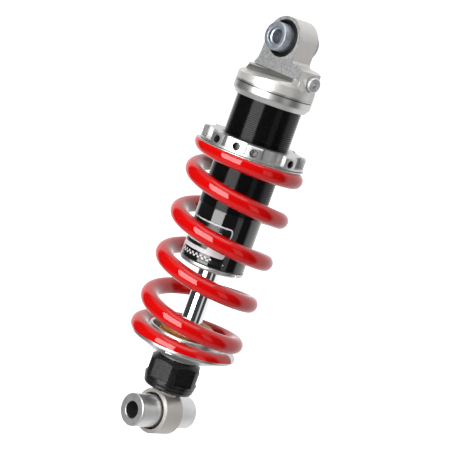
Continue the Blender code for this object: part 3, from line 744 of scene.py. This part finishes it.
# ------------------------------------------------------------------ damper body
def build_body():
    """Tube with a real helical thread on its upper part."""
    per_pitch, sides = 8, 120
    top, bottom = HEAD_BOTTOM + 4.0, THREAD_END
    rows = int((top - bottom) / THREAD_PITCH * per_pitch)
    verts, faces = [], []

    def cross(phase):
        """Radius below the crest across one pitch: flat crest, flank, narrow root, flank."""
        flank = abs(phase % 1.0 - 0.5) * 2.0
        return THREAD_DEPTH * min(max((0.62 - flank) / 0.40, 0.0), 1.0)

    for i in range(rows + 1):
        for k in range(sides):
            share = k / sides
            z = bottom + (i / per_pitch + share) * THREAD_PITCH
            z = min(max(z, bottom), top)
            fade = min(max((z - bottom) / 2.5, 0.0), 1.0) * min(max((top - z) / 1.0, 0.0), 1.0)
            radius = THREAD_RADIUS - 0.02 - fade * cross(z / THREAD_PITCH - share)
            radius -= 0.45 * (1.0 - min((z - bottom) / 0.6, 1.0))
            angle = 2.0 * math.pi * share
            verts.append((radius * math.cos(angle), radius * math.sin(angle), z))
    for i in range(rows):
        for k in range(sides - 1):
            faces.append([i * sides + k, i * sides + k + 1, (i + 1) * sides + k + 1,
                          (i + 1) * sides + k])
        # The last column meets the first one turn on, which is one whole pitch higher.
        for_top = min(i + per_pitch, rows)
        for_next = min(i + 1 + per_pitch, rows)
        corners = [i * sides + sides - 1, for_top * sides, for_next * sides,
                   (i + 1) * sides + sides - 1]
        add_face(faces, corners)
    thread = new_piece("thread", verts, faces, sharp=28.0)
    add(thread, "damper_cylinder", THREAD, "damper_thread")
    tube = lathe("tube", [
        (20.0, HEAD_ROOF - 0.3), (20.0, -173.5), (24.1, -173.5, 0.2), (SMOOTH_RADIUS, -173.1, 0.3),
        (SMOOTH_RADIUS, THREAD_END - 0.2, 0.1), (24.1, THREAD_END + 0.6), (24.1, HEAD_ROOF - 0.3),
    ], sides=192)
    add(tube, "damper_cylinder", GLOSS, "damper_tube")
    cap = lathe("cap", [
        (10.0, -177.2, 0.3), (23.6, -177.2, 0.6), (24.8, -176.0, 0.6), (24.8, -173.8, 0.3),
        (19.7, -173.8), (19.7, -168.0), (10.0, -168.0),
    ], sides=192)
    for angle in (-86.0, 4.0, 94.0, 184.0):
        notch = [(SMOOTH_RADIUS - 2.2, 0.0), (SMOOTH_RADIUS + 3.0, -2.6),
                 (SMOOTH_RADIUS + 3.0, 2.6)]
        cut(cap, prism("notch", notch, -180.0, -174.9, turn=about_z(angle)))
    shade(cap)
    add(cap, "end_cap", SATIN)
    wiper = lathe("wiper", [
        (8.25, -178.5, 0.2), (9.0, -178.5, 0.4), (9.7, -177.6, 0.3), (9.7, -169.0), (8.9, -169.0),
        (8.9, -175.7), (8.25, -176.8),
    ])
    add(wiper, "rod_wiper", RUBBER)


def patch(turns, heights, corner, radius):
    """A piece of a cylinder with rounded corners, between two angles and two heights."""
    (left, right), (low, high) = turns, heights
    steps = 48
    verts, faces = [], []
    half = math.radians(right - left) * radius / 2.0
    for i in range(steps + 1):
        along = -half + 2.0 * half * i / steps
        past = max(0.0, abs(along) - (half - corner))
        trim = corner - math.sqrt(max(0.0, corner * corner - past * past))
        angle = math.radians((left + right) / 2.0) + along / radius
        for z in (low + trim, high - trim):
            verts.append((radius * math.cos(angle), radius * math.sin(angle), z))
    for i in range(steps):
        faces.append([2 * i, 2 * i + 2, 2 * i + 3, 2 * i + 1])
    return verts, faces


def printed(name, patches, material):
    """One sheet made of several patches, carried by the damper's tube."""
    verts, faces = [], []
    for more_verts, more_faces in patches:
        start = len(verts)
        verts += more_verts
        faces += [[start + v for v in face] for face in more_faces]
    add(new_piece(name, verts, faces), "damper_cylinder", material, name)


def build_label():
    """Plain printed band round the tube: white edge, dark fields and bars, no lettering."""
    left, right = LABEL_TURN
    low, high = LABEL_Z
    middle, outer = LABEL_RADIUS + LABEL_LAYER, LABEL_RADIUS + 2.0 * LABEL_LAYER
    paper = [patch((left, right), (low, high), 2.5, LABEL_RADIUS)]
    field = [patch((left + 2.4, right - 2.4), (low + 8.0, high - 1.1), 1.6, middle),
             patch((left + 3.0, right - 34.0), (low + 3.2, low + 5.8), 0.4, middle),
             patch((left + 1.0, right + 4.0), (low - 5.5, low - 2.0), 0.8, middle)]
    for k in range(5):
        start = left + 10.0 + 15.0 * k
        paper.append(patch((start, start + 9.0), (low + 15.5, low + 18.3), 0.6, outer))
        paper.append(patch((start + 2.0, start + 13.0), (low + 10.2, low + 13.0), 0.6, outer))
    for k in range(16):
        start = left + 6.0 + 4.4 * k
        height = low - 4.6 + 1.5 * (k % 2)
        paper.append(patch((start, start + 4.2), (height, height + 1.4), 0.1, outer))
    paper.append(patch((right + 0.2, right + 2.6), (low - 4.3, low - 3.2), 0.4, outer))
    printed("label_print", field, label_ink())
    printed("label_paper", paper, label_white())


# ------------------------------------------------------------------ preload collar
def build_preload():
    flange = COLLAR_BOTTOM + 1.8
    collar = lathe("collar", [
        (25.3, COLLAR_BOTTOM), (COLLAR_RADIUS - 0.4, COLLAR_BOTTOM),
        (COLLAR_RADIUS, COLLAR_BOTTOM + 0.4), (COLLAR_RADIUS, COLLAR_TOP - 0.9),
        (COLLAR_RADIUS - 0.9, COLLAR_TOP), (26.3, COLLAR_TOP), (25.3, COLLAR_TOP - 1.0),
    ], sides=192)
    step, tooth = 360.0 / COLLAR_SLOTS, 17.0
    half = math.radians((step - tooth) / 2.0)
    for k in range(COLLAR_SLOTS):
        arc = []
        for j in range(13):
            angle = -half + 2.0 * half * j / 12.0
            inset = 1.2 * max(0.0, abs(j - 6) - 4) ** 2 / 4.0
            arc.append(((34.5 + inset) * math.cos(angle), (34.5 + inset) * math.sin(angle)))
        arc += [(48.0 * math.cos(half), 48.0 * math.sin(half)),
                (48.0 * math.cos(half), -48.0 * math.sin(half))]
        cut(collar, prism("slot", arc, flange, COLLAR_TOP + 3.0,
                          turn=about_z(step * (k + 0.5))))
    for angle in [step * k for k in range(COLLAR_SLOTS)] + [-157.5]:
        # The hole that takes the lock screw goes right through to the thread.
        inner = 22.0 if angle == LOCK_SCREW_ANGLE else 30.5
        place = about_z(angle) @ move(0, 0, COLLAR_HOLE_Z) @ ALONG_X
        cut(collar, rod("hole", 2.9, inner, 44.0, turn=place))
    bevel(collar, 0.3, 2, angle=32.0)
    add(collar, "preload_collar", COLLAR)
    place = about_z(LOCK_SCREW_ANGLE - 360.0) @ move(0, 0, COLLAR_HOLE_Z) @ ALONG_X
    screw = lathe("grub", [(0.0, 25.3), (2.6, 25.3), (2.6, 36.8, 0.3), (2.2, 37.2, 0.2),
                           (0.0, 37.2)], turn=place, sides=64)
    cut(screw, prism("hex", polygon(6, 1.5), 34.2, 42.0, turn=place))
    shade(screw)
    add(screw, "collar_lock_screw", STEEL)
    washer = lathe("washer", [(26.5, -88.2, 0.1), (41.0, -88.2, 0.2), (41.0, -87.6, 0.2),
                              (26.5, -87.6, 0.1)], sides=160)
    add(washer, "spring_washer", SATIN)


# ------------------------------------------------------------------ spring
def spring_height(turn, pitch):
    """Height of the wire's centre line above its lower end after so many turns."""
    def one_end(t):
        ramp = min(max(t - CLOSED_TURNS, 0.0), RAMP_TURNS)
        full = max(t - CLOSED_TURNS - RAMP_TURNS, 0.0)
        return ramp * ramp / (2.0 * RAMP_TURNS) + full
    middle = SPRING_TURNS / 2.0
    if turn <= middle:
        return CLOSED_PITCH * turn + (pitch - CLOSED_PITCH) * one_end(turn)
    return 2.0 * spring_height(middle, pitch) - spring_height(SPRING_TURNS - turn, pitch)


def build_spring():
    """Left-handed spring in two lengths, which meet on the same section of wire."""
    low, high = SPRING_BOTTOM - END_GRIND, SPRING_TOP + END_GRIND
    active = SPRING_TURNS - 2.0 * CLOSED_TURNS - RAMP_TURNS
    pitch = CLOSED_PITCH + (high - low - CLOSED_PITCH * SPRING_TURNS) / active
    around, per_turn = 32, 100

    def wire(name, first, last):
        verts, faces = [], []
        count = round((last - first) * per_turn)
        for i in range(count + 1):
            turn = first + (last - first) * i / count
            angle = math.radians(SPRING_START_ANGLE) - 2.0 * math.pi * turn
            centre = low + spring_height(turn, pitch)
            for j in range(around):
                section = 2.0 * math.pi * (j + 0.5) / around
                radius = COIL_RADIUS + WIRE_RADIUS * math.cos(section)
                height = centre + WIRE_RADIUS * math.sin(section)
                height = min(max(height, SPRING_BOTTOM), SPRING_TOP)
                verts.append((radius * math.cos(angle), radius * math.sin(angle), height))
        for i in range(count):
            for j in range(around):
                n = (j + 1) % around
                faces.append([i * around + j, i * around + n, (i + 1) * around + n,
                              (i + 1) * around + j])
        faces.append(list(range(around)))
        faces.append(list(range(count * around, (count + 1) * around)))
        return new_piece(name, verts, faces, sharp=50.0)

    split = low + spring_height(SPRING_SPLIT_TURN, pitch) + WIRE_RADIUS
    lower = wire("coils_low", 0.0, SPRING_SPLIT_TURN)
    upper = wire("coils_high", SPRING_SPLIT_TURN, SPRING_TURNS)
    for piece, name in ((lower, "coil_spring_lower"), (upper, "coil_spring_upper")):
        piece.name = name
        piece.data.materials.append(RED)
        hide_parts("coil_spring")
        piece.visible_glossy = False
    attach(lower, "damper")
    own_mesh(lower)
    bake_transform(upper)


# ------------------------------------------------------------------ rod and lower end
def build_rod():
    shaft = lathe("shaft", [
        (1.6, -121.0), (4.4, -121.0, 0.2), (5.0, -121.6, 0.2), (5.0, -146.7), (7.5, -146.7, 0.2),
        (8.0, -147.2, 0.3), (8.0, -268.0, 0.3), (2.6, -268.0), (2.6, -134.0), (1.6, -132.0),
    ], sides=128)
    cut(shaft, box("slot", (-1.6, 1.6), (-20, 20), (-263.6, -258.8)))
    shade(shaft)
    add(shaft, "piston_rod", CHROME)
    stop = lathe("stop", [
        (8.6, -239.9), (20.4, -239.9, 0.3), (21.2, -239.0, 0.5), (21.3, -233.2, 0.8),
        (19.8, -231.8, 0.7), (21.2, -230.4, 0.8), (21.0, -226.6, 1.4), (19.8, -224.4, 1.0),
        (17.0, -222.3, 1.2), (9.8, -222.3, 0.6), (8.6, -223.4, 0.6),
    ], sides=128)
    add(stop, "bump_stop", AMBER)
    seat = lathe("seat", [
        (8.3, -240.2), (26.2, -240.2, 1.0), (26.9, -230.7, 0.4), (27.4, -230.0, 0.4),
        (28.6, -230.0, 0.4), (29.1, -230.7, 0.4), (29.4, -237.5, 0.3), (40.1, -237.5, 0.2),
        (40.5, -237.9, 0.3), (40.5, -239.8, 0.5), (39.5, -240.6, 0.5), (34.0, -242.4, 1.5),
        (26.0, -246.8, 2.5), (16.3, -248.2, 1.2), (15.3, -249.2, 0.6), (14.9, -250.9, 0.3),
        (10.8, -250.9), (10.8, -246.0), (8.3, -246.0),
    ], sides=192)
    for k in range(3):
        cut(seat, box("notch", (33.5, 45.5), (-3.0, 3.0), (-252.0, -240.2),
                      turn=about_z(-150.0 + 120.0 * k)))
    shade(seat)
    add(seat, "lower_spring_seat", SATIN)


def build_knob():
    knob = lathe("knob", [
        (10.9, -251.3), (16.0, -251.3), (20.3, -254.9), (20.3, -268.4), (19.3, -268.8),
        (19.3, -269.8), (19.8, -270.2), (19.6, -271.8), (18.8, -272.1), (18.8, -273.0),
        (19.2, -273.4), (18.4, -275.2), (10.9, -275.2), (10.9, -265.0), (12.4, -265.0),
        (12.4, -257.4), (10.9, -257.4),
    ], sides=144)
    for k in range(6):
        turn = about_z(60.0 * k + 15.0)
        cut(knob, box("flat", (18.2, 30.0), (-7.6, 7.6), (-267.6, -240.0), turn=turn),
            box("rib", (18.8, 30.0), (8.6, 12.0), (-267.6, -240.0), turn=turn))
    bevel(knob, 0.35, 2, angle=28.0)
    add(knob, "rebound_knob", KNOB)


def build_clevis():
    eye = -EYE_TO_EYE
    body = lathe("stem", [
        (8.3, -246.3), (9.9, -246.3), (10.5, -246.9), (10.5, -271.5), (8.8, -274.5), (8.6, -280.0),
        (8.6, eye + 5.0), (0.0, eye + 5.0), (0.0, -269.5), (8.3, -269.5),
    ], sides=96)
    barrel = lathe("barrel", [
        (16.6, -8.9), (17.2, -8.3), (17.2, 8.3), (16.6, 8.9), (0.0, 8.9), (0.0, -8.9),
    ], turn=move(0, 0, eye) @ ALONG_X, sides=144)
    join(body, barrel)
    place = about_z(-80.0) @ move(0, 0, -276.6) @ ALONG_X
    cut(body, rod("bore", LOWER_BORE, -30, 30, turn=move(0, 0, eye) @ ALONG_X, sides=128),
        box("slot", (-1.6, 1.6), (-20, 20), (-263.6, -258.8)),
        rod("screw", 1.8, 3.0, 20.0, turn=place))
    bevel(body, 0.4, 3, angle=24.0, sharp=50.0)
    add(body, "lower_clevis", CAST_LOW)
    screw = lathe("set", [(0.0, 3.3), (1.5, 3.3), (1.5, 7.7, 0.2), (1.2, 8.0, 0.2), (0.0, 8.0)],
                  turn=place, sides=32)
    add(screw, "clevis_set_screw", STEEL)


# ------------------------------------------------------------------ everything else
HIDDEN_LOOKS = {
    "upper_bush": BRONZE, "lower_bush": BRONZE, "rod_bush": PTFE, "piston_band": PTFE,
    "seal_head": SATIN, "floating_piston": SATIN, "main_piston": SATIN,
    "seal_head_o_ring": RUBBER, "rod_seal": RUBBER, "top_out_bumper": RUBBER,
    "floating_piston_o_ring": RUBBER, "compression_shims": STEEL, "rebound_shims": STEEL,
    "piston_nut": ZINC, "metering_needle": STEEL, "adjuster_pin": STEEL,
}


def finish_hidden():
    for name, material in HIDDEN_LOOKS.items():
        node = frame["nodes"][name]
        for slot in node.material_slots:
            slot.material = material


# ------------------------------------------------------------------ studio
AZIMUTH, ELEVATION, ROLL = -47.13, 9.02, 19.77
DISTANCE, LENS = 1.1902, 128.58
AIM = (-0.55, -144.14)
LIGHT_AIM = (0.0, 0.0, -0.15)
ROOM_HALF, ROOM_FLOOR, ROOM_TOP = 6.0, -0.9, 8.0
WORLD_DARK, WORLD_FLOOR, WORLD_TOP = 0.05, 0.5, 0.6
WORLD_BACK_TURN = 158.0  # middle of the white backdrop, to the right of the viewing direction


def camera():
    """Long lens on the damper's middle; returns its level right and the way back to it."""
    a, e, r = (math.radians(v) for v in (AZIMUTH, ELEVATION, ROLL))
    back = Vector((math.sin(a) * math.cos(e), -math.cos(a) * math.cos(e), math.sin(e)))
    right = Vector((math.cos(a), math.sin(a), 0.0))
    up = back.cross(right)
    across = right * math.cos(r) + up * math.sin(r)
    upward = up * math.cos(r) - right * math.sin(r)
    aim = (right * AIM[0] + Vector((0, 0, AIM[1]))) * MM
    data = bpy.data.cameras.new("camera")
    data.lens = LENS
    data.sensor_width = 36.0
    data.clip_end = 50.0
    obj = bpy.data.objects.new("camera", data)
    matrix = Matrix((across, upward, back)).transposed().to_4x4()
    matrix.translation = aim + back * DISTANCE
    obj.matrix_world = matrix
    bpy.context.scene.collection.objects.link(obj)
    bpy.context.scene.camera = obj
    return right, back


def area(name, at, size, power):
    """A soft box that the camera doesn't see, turned towards the object."""
    data = bpy.data.lights.new(name, "AREA")
    data.shape = "RECTANGLE"
    data.size, data.size_y = size
    data.energy = power
    obj = bpy.data.objects.new(name, data)
    obj.location = at
    obj.rotation_euler = (Vector(LIGHT_AIM) - Vector(at)).to_track_quat("-Z", "Y").to_euler()
    obj.visible_camera = False
    bpy.context.scene.collection.objects.link(obj)


def sheet(name, corners):
    """A white sheet of the studio, seen by the camera only."""
    mesh = bpy.data.meshes.new(name)
    mesh.from_pydata(corners, [], [(0, 1, 2, 3)])
    obj = bpy.data.objects.new(name, mesh)
    bpy.context.scene.collection.objects.link(obj)
    paint = bpy.data.materials.new(name + "_paint")
    paint.use_nodes = True
    shader = paint.node_tree.nodes["Principled BSDF"]
    shader.inputs["Base Color"].default_value = (0.9, 0.9, 0.9, 1.0)
    shader.inputs["Roughness"].default_value = 0.9
    shader.inputs["Emission Color"].default_value = (1, 1, 1, 1)
    shader.inputs["Emission Strength"].default_value = 1.0
    mesh.materials.append(paint)
    obj.visible_diffuse = False
    obj.visible_glossy = False
    obj.visible_transmission = False
    obj.visible_shadow = False


def surroundings(right, flat):
    """Soft studio light by direction: white behind the object, dark room in front of it."""
    world = bpy.data.worlds.new("studio")
    bpy.context.scene.world = world
    world.use_nodes = True
    tree = world.node_tree
    background = tree.nodes["Background"]
    background.inputs["Color"].default_value = (1, 1, 1, 1)
    way = tree.nodes.new("ShaderNodeTexCoord").outputs["Generated"]

    def along(direction, low, high, to_low, to_high):
        """Strength that rises as the view turns towards this direction."""
        dot = tree.nodes.new("ShaderNodeVectorMath")
        dot.operation = "DOT_PRODUCT"
        tree.links.new(way, dot.inputs[0])
        dot.inputs[1].default_value = direction
        span = tree.nodes.new("ShaderNodeMapRange")
        span.interpolation_type = "SMOOTHSTEP"
        tree.links.new(dot.outputs["Value"], span.inputs["Value"])
        for socket, value in zip(("From Min", "From Max", "To Min", "To Max"),
                                 (low, high, to_low, to_high)):
            span.inputs[socket].default_value = value
        return span.outputs["Result"]

    def most(a, b):
        made = tree.nodes.new("ShaderNodeMath")
        made.operation = "MAXIMUM"
        tree.links.new(a, made.inputs[0])
        tree.links.new(b, made.inputs[1])
        return made.outputs[0]

    turn = math.radians(WORLD_BACK_TURN)
    back_way = flat * math.cos(turn) + right * math.sin(turn)
    behind = along(tuple(back_way), 0.25, 0.50, WORLD_DARK, 1.0)
    below = along((0, 0, -1), 0.35, 0.75, WORLD_DARK, WORLD_FLOOR)
    above = along((0, 0, 1), 0.55, 0.85, WORLD_DARK, WORLD_TOP)
    tree.links.new(most(behind, most(below, above)), background.inputs["Strength"])


def studio(right, back):
    """Pale floor, white surroundings and soft boxes placed about the viewing direction."""
    flat = Vector((back.x, back.y, 0.0)).normalized()
    surroundings(right, flat)
    half, low, high = ROOM_HALF, ROOM_FLOOR, ROOM_TOP
    sheet("floor", [(-half, -half, low), (half, -half, low), (half, half, low),
                    (-half, half, low)])
    for k in range(4):
        turn = Matrix.Rotation(math.radians(90.0 * k), 3, "Z")
        wall = [(-half, half, low), (half, half, low), (half, half, high), (-half, half, high)]
        sheet(f"backdrop_{k}", [turn @ Vector(v) for v in wall])

    def at(azimuth, elevation, distance):
        """A place round the object; azimuth grows to the right, seen from the camera."""
        a, e = math.radians(azimuth), math.radians(elevation)
        level = flat * math.cos(a) + right * math.sin(a)
        return tuple((level * math.cos(e) + Vector((0, 0, 1)) * math.sin(e)) * distance
                     + Vector(LIGHT_AIM))

    # Place, then width and height in metres, then power in watts.
    area("key", at(-34.0, 9.0, 1.1), (0.86, 1.25), 20.5)
    area("side", at(44.0, 5.0, 1.2), (0.42, 1.1), 0.8)
    area("top", at(0.0, 80.0, 1.1), (0.9, 0.9), 3.0)
    bpy.context.scene.view_settings.view_transform = "Standard"


build_head()
build_valve()
build_eye("upper", 0.0, ZINC, bore=UPPER_BORE, sleeve=10.5, half=19.0, bolt=5.3, step=1.2,
          seal_in=8.0, seal_out=10.6)
build_body()
build_label()
build_preload()
build_spring()
build_rod()
build_knob()
build_clevis()
build_eye("lower", -EYE_TO_EYE, STEEL_LOW, bore=LOWER_BORE, sleeve=12.5, half=28.5, bolt=6.1,
          step=0.1, seal_in=6.0, seal_out=8.4)
finish_hidden()
studio(*camera())
